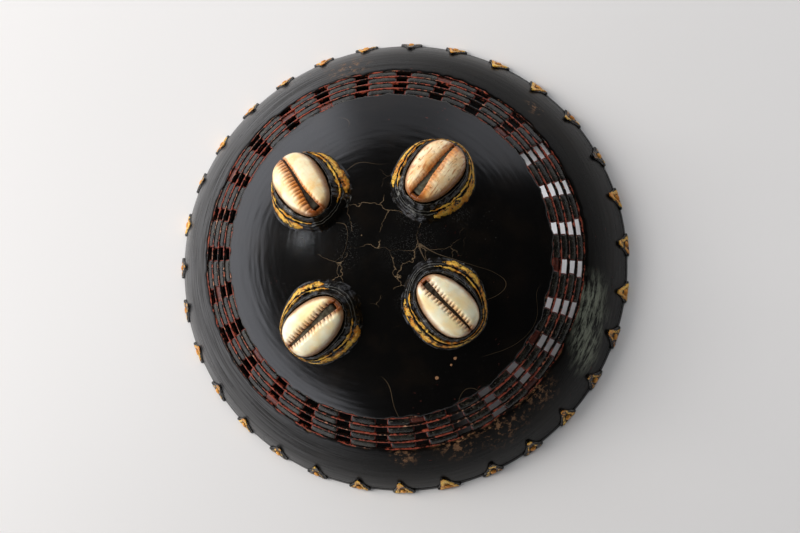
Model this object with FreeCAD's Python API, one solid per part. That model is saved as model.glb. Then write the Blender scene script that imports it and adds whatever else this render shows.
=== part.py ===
# Shallow lacquered cane bowl, resting mouth down with its four cowrie-shell feet up.
# Origin: centre of the rim plane. +Z runs along the bowl's axis towards the feet.
# Lengths are millimetres, angles are degrees.
import FreeCAD, Part
import math
import os
from FreeCAD import Vector

# The outside surface is three tangent arcs: crown, flank and a tighter one down to the rim.
# A place on it is named by its slope, the angle between the surface and the horizontal:
# 0 on the axis, rim_slope at the rim.
rim_radius = 75.0
dome_height = 45.3
crown_slope = 16.0
shoulder_slope = 50.8
rim_slope = 73.0
lower_radius = 42.0

# Wall build-up, measured inwards from the outside surface.
skin_thickness = 0.4
core_thickness = 1.2
wall_thickness = 2 * skin_thickness + core_thickness

# Openwork band between the base and the wall.
band_inner_slope = 35.7
band_outer_slope = 45.1
hoop_count = 5
hoop_width = 0.8
openwork_recess = 0.35
openwork_thickness = 1.2
column_count = 28
window_angle = 4.3
column_phase = -3.1
column_drift = 1.4
column_drift_azimuth = 189.0

# Rim hoop that caps the wall and lies flat on the rim plane.
rim_hoop_slope = 70.1
rim_hoop_foot_width = 2.2

# Petals standing round the rim.
petal_count = 31
petal_phase = 4.9
petal_drift = 1.4
petal_drift_azimuth = 125.6
petal_foot_slope = 72.8
petal_height = 8.3
petal_width = 7.9
petal_shoulder_height = 1.1
petal_tip_width = 0.6
petal_plate_thickness = 0.35
petal_relief = 0.5
petal_margin = 0.45
button_radius = 1.15
button_relief = 0.75
button_height_on_petal = 1.75
arch_gap = 0.4

# Feet: a putty cup on the base holds a cowrie shell, aperture up.
foot_radii = [30.1, 26.8, 29.6, 25.6]
foot_azimuths = [141.1, 54.3, -131.5, -41.3]
cowrie_yaws = [129.3, 53.3, -141.3, -46.5]
cowrie_lengths = [23.6, 21.8, 22.0, 21.7]
cowrie_widths = [15.6, 15.4, 15.2, 14.8]
cowrie_thickness = 9.2
cowrie_centre_height = 4.9
cowrie_fullness = 2.3
cowrie_taper = 0.12
slot_depth = 3.0
slot_width = 1.7
slot_mouth_width = 2.9
slot_end_margin = 1.9
tooth_count = 12
tooth_groove_radius = 0.32
tooth_groove_reach = 1.9
putty_recess = 0.9

# Ovals of the foot cup from its base up: height, half length, half width.
cup_ovals = [(-2.6, 14.6, 13.4), (1.0, 13.9, 12.7), (3.0, 12.9, 11.0), (4.0, 12.4, 9.6)]
collar_height = 1.1
collar_taper = 0.35
gilt_thickness = 0.45
gilt_broad_band = (1.2, 2.7)
gilt_thin_band = (3.0, 3.5)
horseshoe_opening = 70.0
broad_opening = 90.0

axis = Vector(0, 0, 1)
origin = Vector(0, 0, 0)


def sine(angle):
    return math.sin(math.radians(angle))


def cosine(angle):
    return math.cos(math.radians(angle))


# Radii of the crown and flank arcs, which reach from the axis to where the lower arc begins.
def solve_arcs():
    across = rim_radius - lower_radius * (sine(rim_slope) - sine(shoulder_slope))
    drop = dome_height - lower_radius * (cosine(shoulder_slope) - cosine(rim_slope))
    a1 = sine(crown_slope)
    b1 = sine(shoulder_slope) - sine(crown_slope)
    a2 = 1 - cosine(crown_slope)
    b2 = cosine(crown_slope) - cosine(shoulder_slope)
    det = a1 * b2 - b1 * a2
    crown = (across * b2 - b1 * drop) / det
    flank = (a1 * drop - a2 * across) / det
    return crown, flank


crown_radius, flank_radius = solve_arcs()
crown_centre = (0.0, dome_height - crown_radius)
flank_centre = (
    (crown_radius - flank_radius) * sine(crown_slope),
    crown_centre[1] + (crown_radius - flank_radius) * cosine(crown_slope),
)
lower_centre = (
    flank_centre[0] + (flank_radius - lower_radius) * sine(shoulder_slope),
    flank_centre[1] + (flank_radius - lower_radius) * cosine(shoulder_slope),
)


# Point of the profile at a slope, a depth inside the outside surface.
def profile_point(slope, depth):
    centre, radius = flank_centre, flank_radius
    if slope <= crown_slope:
        centre, radius = crown_centre, crown_radius
    if slope > shoulder_slope:
        centre, radius = lower_centre, lower_radius
    reach = radius - depth
    return Vector(centre[0] + reach * sine(slope), 0, centre[1] + reach * cosine(slope))


# Edges that follow the surface at one depth from one slope to another.
def profile_edges(start, end, depth):
    joints = [joint for joint in (crown_slope, shoulder_slope) if start < joint < end]
    stops = [start] + joints + [end]
    edges = []
    for first, last in zip(stops, stops[1:]):
        points = [profile_point(s, depth) for s in (first, (first + last) / 2, last)]
        edges.append(Part.Arc(*points).toShape())
    return edges


def revolve_edges(edges, angle=360.0, start_azimuth=0.0):
    face = Part.Face(Part.Wire(Part.__sortEdges__(edges)))
    solid = face.revolve(origin, axis, angle)
    solid.rotate(origin, axis, start_azimuth)
    return solid


# A layer of the wall, closed all round: slopes from start to end, depths from outer to inner.
def shell_ring(start, end, outer, inner, angle=360.0, start_azimuth=0.0):
    top = profile_edges(start, end, outer)
    under = profile_edges(start, end, inner)
    lead = Part.makeLine(profile_point(start, outer), profile_point(start, inner))
    tail = Part.makeLine(profile_point(end, outer), profile_point(end, inner))
    return revolve_edges(top + under + [lead, tail], angle, start_azimuth)


# Everything inside the outside surface, used to trim what stands on it.
def filled_dome():
    edges = profile_edges(0.0, rim_slope, 0.0)
    edges.append(Part.makeLine(Vector(rim_radius, 0, 0), origin))
    edges.append(Part.makeLine(origin, Vector(0, 0, dome_height)))
    return revolve_edges(edges)


def make_rim_hoop():
    top = profile_point(rim_hoop_slope, 0)
    top_inside = profile_point(rim_hoop_slope, wall_thickness)
    foot = profile_point(rim_slope, 0)
    foot.z = 0
    foot_inside = Vector(foot.x - rim_hoop_foot_width, 0, 0)
    middle = profile_point((rim_hoop_slope + rim_slope) / 2, 0)
    edges = [Part.Arc(top, middle, foot).toShape()]
    edges.append(Part.makeLine(foot, foot_inside))
    edges.append(Part.makeLine(foot_inside, top_inside))
    edges.append(Part.makeLine(top_inside, top))
    return revolve_edges(edges)


hoop_slope = math.degrees(hoop_width / flank_radius)
row_slope = (band_outer_slope - band_inner_slope - hoop_count * hoop_slope) / (hoop_count - 1)


def make_hoop(index):
    start = band_inner_slope + index * (hoop_slope + row_slope)
    inner = openwork_recess + openwork_thickness
    return shell_ring(start, start + hoop_slope, openwork_recess, inner)


# Window centre of a column. The hand-set columns drift a little round the bowl.
def column_azimuth(index):
    even = index * 360.0 / column_count
    return column_phase + even + column_drift * cosine(even - column_drift_azimuth)


def make_spacer_row(index):
    start = band_inner_slope + hoop_slope + index * (hoop_slope + row_slope)
    inner = openwork_recess + openwork_thickness
    blocks = []
    for column in range(column_count):
        left = column_azimuth(column) + window_angle / 2
        right = column_azimuth(column + 1) - window_angle / 2
        if column == column_count - 1:
            right = column_azimuth(0) + 360.0 - window_angle / 2
        block = shell_ring(start, start + row_slope, openwork_recess, inner, right - left, left)
        blocks.append(block)
    return Part.makeCompound(blocks)


# Prism standing on a petal's face: outline points are (across, up) from the petal's foot.
def petal_prism(outline):
    foot = profile_point(petal_foot_slope, 0)
    middle_slope = petal_foot_slope - math.degrees(petal_height / 2 / lower_radius)
    up = Vector(-cosine(middle_slope), 0, sine(middle_slope))
    out = Vector(sine(middle_slope), 0, cosine(middle_slope))
    points = [foot + Vector(0, 1, 0) * x + up * y - out * 2 for x, y in outline]
    wire = Part.makePolygon(points + points[:1])
    return Part.Face(wire).extrude(out * 5)


def petal_disc(radius, lowest, highest):
    centre_slope = petal_foot_slope - math.degrees(button_height_on_petal / lower_radius)
    centre = profile_point(centre_slope, 0)
    out = Vector(sine(centre_slope), 0, cosine(centre_slope))
    return Part.makeCylinder(radius, highest - lowest, centre + out * lowest, out)


def petal_layer(inner, outer):
    top = petal_foot_slope - math.degrees((petal_height + 1) / lower_radius)
    return shell_ring(top, petal_foot_slope, -outer, -inner, 8.0, -4.0)


def make_petal():
    half = petal_width / 2
    shoulder = petal_shoulder_height
    blunt = petal_tip_width / 2
    plate_outline = [(-half, 0), (half, 0), (half, shoulder), (blunt, petal_height)]
    plate_outline += [(-blunt, petal_height), (-half, shoulder)]
    plate = petal_layer(0, petal_plate_thickness).common(petal_prism(plate_outline))
    gilt_half = half - 2 * petal_margin
    tip = petal_height - petal_margin
    gilt_outline = [(-gilt_half, petal_margin), (gilt_half, petal_margin), (blunt, tip), (-blunt, tip)]
    relief_top = petal_plate_thickness + petal_relief
    gilding = petal_layer(petal_plate_thickness, relief_top).common(petal_prism(gilt_outline))
    arch_radius = button_radius + arch_gap
    gilding = gilding.cut(petal_disc(arch_radius, -1, 4))
    doorway = [(-arch_radius, -1), (arch_radius, -1)]
    doorway += [(arch_radius, button_height_on_petal), (-arch_radius, button_height_on_petal)]
    gilding = gilding.cut(petal_prism(doorway))
    button_top = petal_plate_thickness + button_relief
    button = petal_disc(button_radius, 0, button_top).cut(petal_layer(-1, petal_plate_thickness))
    return plate, gilding, button


def petal_azimuth(index):
    even = index * 360.0 / petal_count
    return petal_phase + even + petal_drift * cosine(even - petal_drift_azimuth)


def ring_of_petals(piece):
    copies = []
    for index in range(petal_count):
        copy = piece.copy()
        copy.rotate(origin, axis, petal_azimuth(index))
        copies.append(copy)
    return Part.makeCompound(copies)


# Placement of a foot: local Z along the surface normal, local X towards the cowrie's
# broad end, local origin on the outside surface.
def foot_placement(index):
    slope = math.degrees(math.asin((foot_radii[index] - flank_centre[0]) / flank_radius))
    azimuth = foot_azimuths[index]
    base = profile_point(slope, 0)
    centre = Vector(base.x * cosine(azimuth), base.x * sine(azimuth), base.z)
    normal = Vector(sine(slope) * cosine(azimuth), sine(slope) * sine(azimuth), cosine(slope))
    heading = Vector(cosine(cowrie_yaws[index]), sine(cowrie_yaws[index]), 0)
    forward = (heading - normal * heading.dot(normal)).normalize()
    side = normal.cross(forward)
    return FreeCAD.Placement(centre, FreeCAD.Rotation(forward, side, normal, "ZXY"))


def seat(shape, index):
    shape.Placement = foot_placement(index).multiply(shape.Placement)
    return shape


def oval_wire(height, half_length, half_width):
    turn = FreeCAD.Placement(Vector(0, 0, height), FreeCAD.Rotation())
    edge = Part.Ellipse(origin, half_length, half_width).toShape()
    edge.Placement = turn
    return Part.Wire([edge])


def oval_loft(ovals):
    return Part.makeLoft([oval_wire(*oval) for oval in ovals], True, True)


# Half outline of the cowrie: a rounded oval, fuller towards its broad end.
def cowrie_half_width(share, half_width):
    full = (1 - abs(share) ** cowrie_fullness) ** (1 / cowrie_fullness)
    return half_width * full * (1 + cowrie_taper * share) / (1 + cowrie_taper / 4)


# Oval sections strung along local X, blunt at both ends where the canals leave the shell.
def make_cowrie_body(index):
    half_length = cowrie_lengths[index] / 2
    half_width = cowrie_widths[index] / 2
    flatness = cowrie_thickness / cowrie_widths[index]
    sections = []
    for share in (-0.985, -0.93, -0.8, -0.6, -0.3, 0, 0.3, 0.6, 0.8, 0.93, 0.985):
        across = cowrie_half_width(share, half_width)
        oval = Part.Ellipse(origin, across, across * flatness).toShape()
        upright = FreeCAD.Rotation(Vector(0, 1, 0), Vector(0, 0, 1), Vector(1, 0, 0), "ZXY")
        oval.Placement = FreeCAD.Placement(Vector(half_length * share, 0, 0), upright)
        sections.append(Part.Wire([oval]))
    return Part.makeLoft(sections, True, False)


# Aperture: a long slot that widens to a mouth at the narrow end.
def make_slot(index):
    reach = cowrie_lengths[index] / 2 - slot_end_margin
    half = slot_width / 2
    mouth = slot_mouth_width / 2
    left = [Vector(-reach, mouth * 0.8, 0), Vector(-reach * 0.75, mouth, 0), Vector(-reach * 0.3, half, 0)]
    left += [Vector(reach * 0.8, half, 0), Vector(reach, half * 0.6, 0)]
    right = [Vector(p.x, -p.y, 0) for p in reversed(left)]
    wire = Part.makePolygon(left + right + left[:1])
    slot = Part.Face(wire).extrude(Vector(0, 0, cowrie_thickness))
    slot.translate(Vector(0, 0, cowrie_thickness / 2 - slot_depth))
    return slot


def make_tooth_grooves(index):
    half_length = cowrie_lengths[index] / 2
    half_width = cowrie_widths[index] / 2
    reach = half_length - slot_end_margin
    grooves = []
    for tooth in range(tooth_count):
        share = -0.78 + 1.6 * tooth / (tooth_count - 1)
        x = reach * share
        top = cowrie_half_width(x / half_length, half_width) * cowrie_thickness / (2 * half_width)
        for side in (-1, 1):
            start = Vector(x, 0, top - 0.1)
            lean = Vector(0, side, -0.12).normalize()
            length = slot_width / 2 + tooth_groove_reach
            grooves.append(Part.makeCylinder(tooth_groove_radius, length, start, lean))
    return Part.makeCompound(grooves)


def make_foot(index, dome):
    body = make_cowrie_body(index)
    slot = make_slot(index)
    shell = body.cut(slot).cut(make_tooth_grooves(index))
    lowered = body.copy()
    lowered.translate(Vector(0, 0, -putty_recess))
    putty = slot.common(lowered)
    lift = Vector(0, 0, cowrie_centre_height)
    for piece in (body, shell, putty):
        piece.translate(lift)

    cup_solid = oval_loft(cup_ovals)
    top_height, top_length, top_width = cup_ovals[-1]
    collar_top = (top_height + collar_height, top_length - collar_taper, top_width - collar_taper)
    collar = oval_loft([cup_ovals[-1], collar_top]).cut(body)
    cup = cup_solid.cut(body)

    swollen = [(h, a + gilt_thickness, b + gilt_thickness) for h, a, b in cup_ovals]
    sleeve = oval_loft(swollen).cut(cup_solid)
    bands = []
    for (low, high), opening in ((gilt_broad_band, broad_opening), (gilt_thin_band, horseshoe_opening)):
        slab = Part.makeCylinder(30, high - low, Vector(0, 0, low), axis, 360 - opening)
        slab.rotate(origin, axis, 180 + opening / 2)
        bands.append(sleeve.common(slab))
    gilt = Part.makeCompound(bands)

    cup = seat(cup, index).cut(dome)
    gilt = seat(gilt, index).cut(dome)
    return cup, seat(collar, index), gilt, seat(shell, index), seat(putty, index)


# One STEP file per sub-part, holding only its solids.
def save(name, shape):
    solids = shape.Solids
    kept = solids[0] if len(solids) == 1 else Part.makeCompound(solids)
    kept.exportStep(os.path.join("parts", name + ".step"))
    state = "valid" if kept.isValid() else "NOT VALID"
    print(name, len(solids), "solid(s)", round(kept.Volume, 1), "mm3", state)


os.makedirs("parts", exist_ok=True)
core_inside = skin_thickness + core_thickness

save("base_core", shell_ring(0, band_inner_slope, skin_thickness, core_inside))
save("base_outer_lacquer", shell_ring(0, band_inner_slope, 0, skin_thickness))
save("base_inner_lacquer", shell_ring(0, band_inner_slope, core_inside, wall_thickness))
save("wall_core", shell_ring(band_outer_slope, rim_hoop_slope, skin_thickness, core_inside))
save("wall_outer_lacquer", shell_ring(band_outer_slope, rim_hoop_slope, 0, skin_thickness))
save("wall_inner_lacquer", shell_ring(band_outer_slope, rim_hoop_slope, core_inside, wall_thickness))
save("rim_hoop", make_rim_hoop())

for number in range(hoop_count):
    save("openwork_hoop_%d" % (number + 1), make_hoop(number))
for number in range(hoop_count - 1):
    save("openwork_spacers_%d" % (number + 1), make_spacer_row(number))

petal_pieces = make_petal()
for name, piece in zip(("petal_plates", "petal_gilding", "petal_buttons"), petal_pieces):
    save(name, ring_of_petals(piece))

dome_solid = filled_dome()
foot_names = ("foot_cup", "foot_collar", "gilt_horseshoe", "cowrie", "cowrie_putty")
for number in range(len(foot_azimuths)):
    for name, piece in zip(foot_names, make_foot(number, dome_solid)):
        save("%s_%d" % (name, number + 1), piece)
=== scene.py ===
import math

import bmesh
import bpy
import numpy as np
from mathutils import Matrix, Vector


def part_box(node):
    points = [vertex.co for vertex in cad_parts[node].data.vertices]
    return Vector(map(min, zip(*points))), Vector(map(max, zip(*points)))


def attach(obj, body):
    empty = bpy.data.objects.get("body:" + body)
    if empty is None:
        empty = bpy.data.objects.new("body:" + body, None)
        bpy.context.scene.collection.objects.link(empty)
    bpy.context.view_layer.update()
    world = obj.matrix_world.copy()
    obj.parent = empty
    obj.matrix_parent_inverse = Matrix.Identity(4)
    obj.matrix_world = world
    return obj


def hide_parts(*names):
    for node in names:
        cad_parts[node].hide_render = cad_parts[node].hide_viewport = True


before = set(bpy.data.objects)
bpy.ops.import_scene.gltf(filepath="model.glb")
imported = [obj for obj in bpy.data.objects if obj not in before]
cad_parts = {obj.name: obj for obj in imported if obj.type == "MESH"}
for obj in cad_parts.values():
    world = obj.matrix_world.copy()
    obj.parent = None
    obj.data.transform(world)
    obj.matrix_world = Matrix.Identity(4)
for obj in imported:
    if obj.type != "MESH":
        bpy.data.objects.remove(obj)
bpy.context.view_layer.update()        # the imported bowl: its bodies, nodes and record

mm = 0.001
fullTurn = 2 * math.pi
mergeReach = 0.0005 * mm


def ink(red, green, blue):  # a screen colour, 0 to 255, as the linear colour a shader wants
    linear = [((c / 255 + 0.055) / 1.055) ** 2.4 if c > 10 else c / 255 / 12.92 for c in (red, green, blue)]
    return (*linear, 1.0)


# The outside surface is three tangent arcs, and a place on it is named by its azimuth and slope.
bowl = {
    "crownSlope": 16.0,  # degrees from level, where the crown's arc meets the flank's
    "bandInner": 35.7,  # the openwork lies between these two slopes
    "bandOuter": 45.1,
    "shoulder": 50.8,  # where the flank's arc meets the tighter one below it
    "hoopTop": 70.1,  # where the rim's hoop begins
    "rimSlope": 73.0,
    "lowerArc": 42.0 * mm,
    "skin": 0.4 * mm,  # thickness of the lacquer
    "wall": 2.0 * mm,
    "rimFoot": 2.2 * mm,
}
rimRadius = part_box("rim_hoop")[1].x
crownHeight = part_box("base_outer_lacquer")[1].z
lowerArc = bowl["lowerArc"]
slopeKeys = ("crownSlope", "bandInner", "bandOuter", "shoulder", "hoopTop", "rimSlope")
crownSlope, inner, outer, shoulder, hoopTop, rimSlope = (math.radians(bowl[key]) for key in slopeKeys)


def solveArcs():  # the two upper arcs, from the rim's radius and the crown's height
    across = rimRadius - lowerArc * (math.sin(rimSlope) - math.sin(shoulder))
    drop = crownHeight - lowerArc * (math.cos(shoulder) - math.cos(rimSlope))
    sides = np.array([
        [math.sin(crownSlope), math.sin(shoulder) - math.sin(crownSlope)],
        [1 - math.cos(crownSlope), math.cos(crownSlope) - math.cos(shoulder)],
    ])
    return np.linalg.solve(sides, [across, drop])


def nextMiddle(middle, arc, nextArc, slope):  # centre of the arc that carries on from a slope
    return (middle[0] + (arc - nextArc) * math.sin(slope), middle[1] + (arc - nextArc) * math.cos(slope))


crownArc, flankArc = solveArcs()
crownMiddle = (0.0, crownHeight - crownArc)
flankMiddle = nextMiddle(crownMiddle, crownArc, flankArc, crownSlope)
lowerMiddle = nextMiddle(flankMiddle, flankArc, lowerArc, shoulder)


def onBowl(azimuth, slope, lift):  # radians, radians and metres, as arrays of one shape
    parts = [slope < crownSlope, slope < shoulder]
    reach = np.select(parts, [crownArc, flankArc], lowerArc) + lift
    rho = np.select(parts, [crownMiddle[0], flankMiddle[0]], lowerMiddle[0]) + reach * np.sin(slope)
    height = np.select(parts, [crownMiddle[1], flankMiddle[1]], lowerMiddle[1]) + reach * np.cos(slope)
    return np.stack([rho * np.cos(azimuth), rho * np.sin(azimuth), height], axis=-1)


def liftOf(points):  # how far points stand above the crown and flank
    rho = np.hypot(points[..., 0], points[..., 1])
    flank = np.hypot(rho - flankMiddle[0], points[..., 2] - flankMiddle[1]) - flankArc
    crown = np.hypot(rho, points[..., 2] - crownMiddle[1]) - crownArc
    steep = np.arctan2(rho - flankMiddle[0], points[..., 2] - flankMiddle[1])
    return np.where(steep < crownSlope, crown, flank)


def ripple(points, size, seed, waves=16):  # soft unevenness, about -1 to 1
    draw = np.random.default_rng(seed)
    total = np.zeros(points.shape[:-1])
    for _ in range(waves):
        heading = draw.normal(size=3)
        heading *= draw.uniform(0.6, 1.6) / np.linalg.norm(heading)
        total += np.sin(points @ heading * (fullTurn / size) + draw.uniform(0, fullTurn))
    return total / math.sqrt(waves)


def aroundAxis(points, squeeze):  # points drawn together round the axis, for streaks along the coils
    azimuth = np.arctan2(points[..., 1], points[..., 0])
    rho = np.hypot(points[..., 0], points[..., 1])
    return np.stack([squeeze * np.cos(azimuth), squeeze * np.sin(azimuth), rho - points[..., 2]], axis=-1)


def smooth(low, high, value):  # smooth step from 0 at low to 1 at high
    share = np.clip((value - low) / (high - low), 0, 1)
    return share * share * (3 - 2 * share)


def tidyFaces(mesh):  # doubles merged, faces turned outwards and shaded smooth
    work = bmesh.new()
    work.from_mesh(mesh)
    bmesh.ops.remove_doubles(work, verts=work.verts, dist=mergeReach)
    bmesh.ops.recalc_face_normals(work, faces=work.faces)
    work.to_mesh(mesh)
    work.free()
    mesh.polygons.foreach_set("use_smooth", [True] * len(mesh.polygons))
    mesh.update()


# Rows of points, each row a closed loop, skinned one to the next.
def meshFromRows(name, rows, material, closeRows=False, poles=(None, None), marks=None):
    rows = np.asarray(rows, float)
    count, width = rows.shape[:2]
    points = [rows.reshape(-1, 3)]
    here = np.arange(count * width).reshape(count, width)
    right = np.roll(here, -1, axis=1)
    if closeRows:
        below, belowRight = np.roll(here, -1, axis=0), np.roll(right, -1, axis=0)
    else:
        here, right, below, belowRight = here[:-1], right[:-1], here[1:], right[1:]
    faces = np.stack([here, right, belowRight, below], axis=-1).reshape(-1, 4).tolist()
    extra = count * width
    for pole, row in zip(poles, (0, count - 1)):
        if pole is None:
            continue
        points.append(np.asarray(pole, float).reshape(1, 3))
        for column in range(width):
            faces.append([row * width + column, row * width + (column + 1) % width, extra])
        extra += 1
    mesh = bpy.data.meshes.new(name)
    mesh.from_pydata(np.concatenate(points).tolist(), [], faces)
    for label, values in (marks or {}).items():
        layer = mesh.attributes.new(label, "FLOAT", "POINT")
        filled = np.zeros(len(mesh.vertices), np.float32)
        filled[:count * width] = np.asarray(values, np.float32).reshape(-1)
        for index, row in zip(range(count * width, len(filled)), (0, count - 1)):
            filled[index] = np.mean(np.asarray(values)[row])
        layer.data.foreach_set("value", filled)
    tidyFaces(mesh)
    mesh.materials.append(material)
    piece = bpy.data.objects.new(name, mesh)
    bpy.context.scene.collection.objects.link(piece)
    return piece


def fitPiece(piece, slotName, *nodes):  # nothing on the bowl moves, so each piece rides on its root
    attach(piece, "root")
    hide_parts(*nodes)


def mathStep(operation, reflected=False):  # a method that adds one Math node
    def step(self, *others):
        values = (*others, self) if reflected else (self, *others)
        return self.board.node("ShaderNodeMath", {"operation": operation}, dict(enumerate(values)))

    return step


class Plug:  # a node's socket that works in sums
    __add__ = __radd__ = mathStep("ADD")
    __sub__ = mathStep("SUBTRACT")
    __rsub__ = mathStep("SUBTRACT", reflected=True)
    __mul__ = __rmul__ = mathStep("MULTIPLY")
    __truediv__ = mathStep("DIVIDE")
    __rtruediv__ = mathStep("DIVIDE", reflected=True)
    __pow__ = mathStep("POWER")
    sin = mathStep("SINE")
    cos = mathStep("COSINE")
    arcSine = mathStep("ARCSINE")
    arcTangent = mathStep("ARCTAN2")
    size = mathStep("ABSOLUTE")
    most = mathStep("MAXIMUM")
    isBelow = mathStep("LESS_THAN")

    def __init__(self, board, socket):
        self.board, self.socket = board, socket

    def held(self):  # kept between 0 and 1
        settings = {"operation": "ADD", "use_clamp": True}
        return self.board.node("ShaderNodeMath", settings, {0: self, 1: 0.0})

    def ramp(self, low, high, bottom=0.0, top=1.0):  # smooth step from low to high
        settings = {"interpolation_type": "SMOOTHSTEP"}
        values = {"Value": self, "From Min": low, "From Max": high, "To Min": bottom, "To Max": top}
        return self.board.node("ShaderNodeMapRange", settings, values)


class Board:  # a node tree that is built from expressions
    def __init__(self, tree):
        self.tree = tree

    def node(self, kind, settings=None, values=None, out=0):
        made = self.tree.nodes.new(kind)
        for key, value in (settings or {}).items():
            setattr(made, key, value)
        for key, value in (values or {}).items():
            if isinstance(value, Plug):
                self.tree.links.new(value.socket, made.inputs[key])
            else:
                made.inputs[key].default_value = value
        return Plug(self, made.outputs[out]) if made.outputs else None

    def join(self, x, y, z):
        return self.node("ShaderNodeCombineXYZ", {}, {0: x, 1: y, 2: z})

    def split(self, vector):
        first = self.node("ShaderNodeSeparateXYZ", {}, {0: vector})
        return [Plug(self, socket) for socket in first.socket.node.outputs]

    def noise(self, vector, scale, detail=3.0, rough=0.55, warp=0.0):
        values = {"Vector": vector, "Scale": scale, "Detail": detail, "Roughness": rough}
        values["Distortion"] = warp
        return self.node("ShaderNodeTexNoise", {}, values)

    def dye(self, share, first, second):  # one colour laid over another
        return self.node("ShaderNodeMix", {"data_type": "RGBA"}, {0: share, 6: first, 7: second}, 2)

    def vector(self, operation, first, second, out=0):
        return self.node("ShaderNodeVectorMath", {"operation": operation}, {0: first, 1: second}, out)

    def mark(self, label):  # a value that the piece's own points carry
        return self.node("ShaderNodeAttribute", {"attribute_name": label}, {}, "Fac")

    def place(self):
        return self.node("ShaderNodeTexCoord", {}, {}, "Object")


def newMaterial(name):
    material = bpy.data.materials.new(name)
    material.use_nodes = True
    material.node_tree.nodes.clear()
    board = Board(material.node_tree)
    return material, board, board.place()


def dress(board, colour, rough, height, strength, depth, more=None):  # the shader that ends a material
    bump = {"Strength": strength, "Distance": depth, "Height": height}
    values = {"Base Color": colour, "Roughness": rough, "Normal": board.node("ShaderNodeBump", {}, bump)}
    values.update(more or {})
    shader = board.node("ShaderNodeBsdfPrincipled", {}, values)
    board.node("ShaderNodeOutputMaterial", {}, {"Surface": shader})


# Places where the lacquer is marked: azimuth and slope in degrees, reach in millimetres, strength.
marks = {
    "scuffs": [
        (156, 12.2, 6, 0.8), (56, 8.1, 6, 0.9), (24, 16.2, 6, 0.7), (-67, 11.3, 5, 0.8), (15, 8.3, 9, 0.6),
        (-169, 6.5, 9, 0.6), (-10, 3.3, 11, 0.7), (150, 7, 6, 0.8),
    ],
    "bruises": [
        (104, 49.8, 11, 0.7), (-87, 46.9, 6, 0.9), (-57, 46.4, 13, 1.0), (-71, 45.6, 10, 0.9),
        (47, 50.5, 5, 0.6), (-43, 47.0, 9, 0.8),
    ],
    "spots": [(-57, 26.2, 0.8, 1.0), (-68, 28.2, 0.9, 1.0), (-60, 27.0, 0.6, 0.9), (-120, 24.0, 0.6, 0.8)],
    "paleGreenPatch": [
        (-10, 48.5, 9, 0.9), (-19, 50.5, 11, 1.0), (-27, 54.0, 9, 1.0), (-15, 47.5, 8, 0.9),
        (-24, 48.5, 7, 0.8),
    ],
}


def markMask(board, place, spots):  # 1 in the middle of each mark, fading to 0 at its reach
    total = 0.0
    for azimuth, slope, reach, strength in spots:
        centre = onBowl(math.radians(azimuth), math.radians(slope), 0.0)
        apart = board.vector("DISTANCE", place, tuple(centre), out="Value")
        total = apart.ramp(reach * mm, 0.0, 0.0, strength) + total
    return total.held()


def fromAxis(board, place):  # distance from the bowl's axis
    x, y, _ = board.split(place)
    return (x * x + y * y) ** 0.5


def coilNoise(board, place, turns, pitch, detail, rough):  # noise drawn out in streaks round the axis
    x, y, z = board.split(place)
    rho = fromAxis(board, place)
    away = rho.most(0.1 * mm)
    point = board.join(x / away * turns, y / away * turns, (rho - z) * (1 / pitch))
    return board.noise(point, 1.0, detail, rough)


lacquer = {
    "black": ink(10, 9, 8),
    "warmBlack": ink(19, 15, 11),
    "crackTan": ink(150, 126, 96),
    "scuffGrey": ink(128, 128, 124),
    "bruiseTan": ink(168, 124, 88),
    "paleGreen": ink(164, 170, 150),
    "rustRed": ink(96, 38, 26),
    # the grey of the sheen painted on the wall's lit side
    "paintedSheenGrey": ink(104, 104, 105),
    "dustAndSheen": 0.6,  # painted sheen: how pale the wall is painted on the side that faces the light
    "brushPitch": 0.75 * mm,
    "brushTurns": 3.2,
    "crackCells": 78.0,  # cracks to the metre
    "crackWander": 7 * mm,
}


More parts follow.
